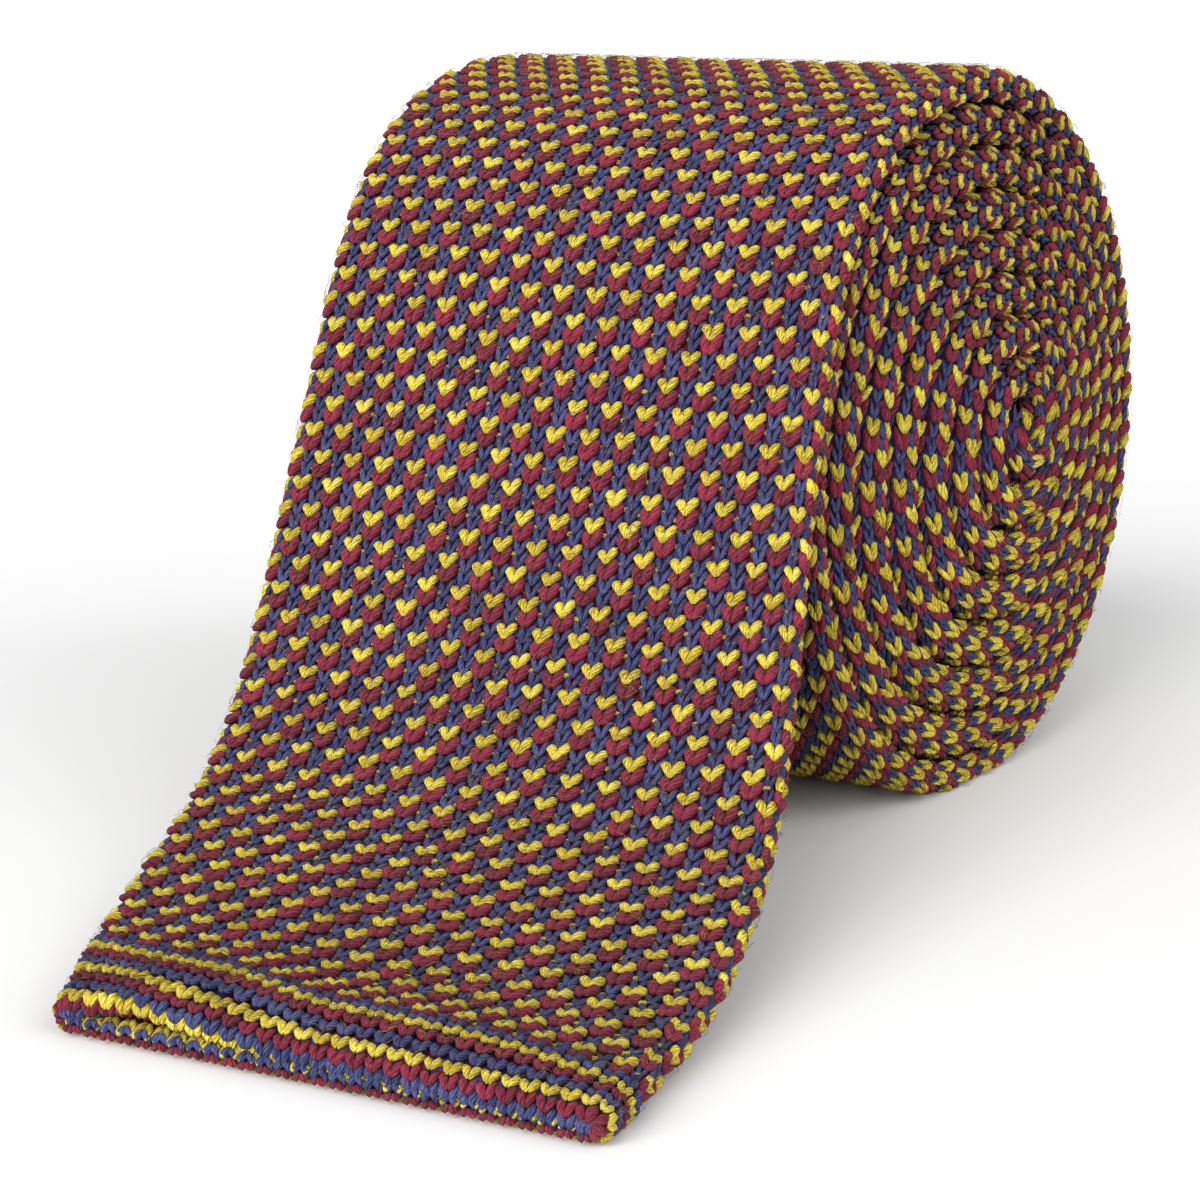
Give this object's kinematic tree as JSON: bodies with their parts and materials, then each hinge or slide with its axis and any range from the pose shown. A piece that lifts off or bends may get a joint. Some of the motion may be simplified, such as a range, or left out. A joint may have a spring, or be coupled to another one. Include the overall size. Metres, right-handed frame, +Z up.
{
  "type": "rolled knit tie",
  "caption": "Tubular knitted wool necktie, rolled up, with its striped open end hanging over the front of the roll and resting on the surface.",
  "frame": {"origin": "on the surface the tie rests on, under the middle of the roll", "axes": "+X along the axis of the roll, across the tie; +Y from the free end towards the back of the roll; +Z up"},
  "size_m": [0.0833, 0.1574, 0.0755],
  "materials": {
    "burgundy_wool": "soft plied wool",
    "navy_wool": "soft plied wool",
    "yellow_wool": "soft plied wool"
  },
  "bodies": {
    "root": {"patterned_tube": "burgundy_wool", "striped_hem": "navy_wool"}
  },
  "joints": []
}
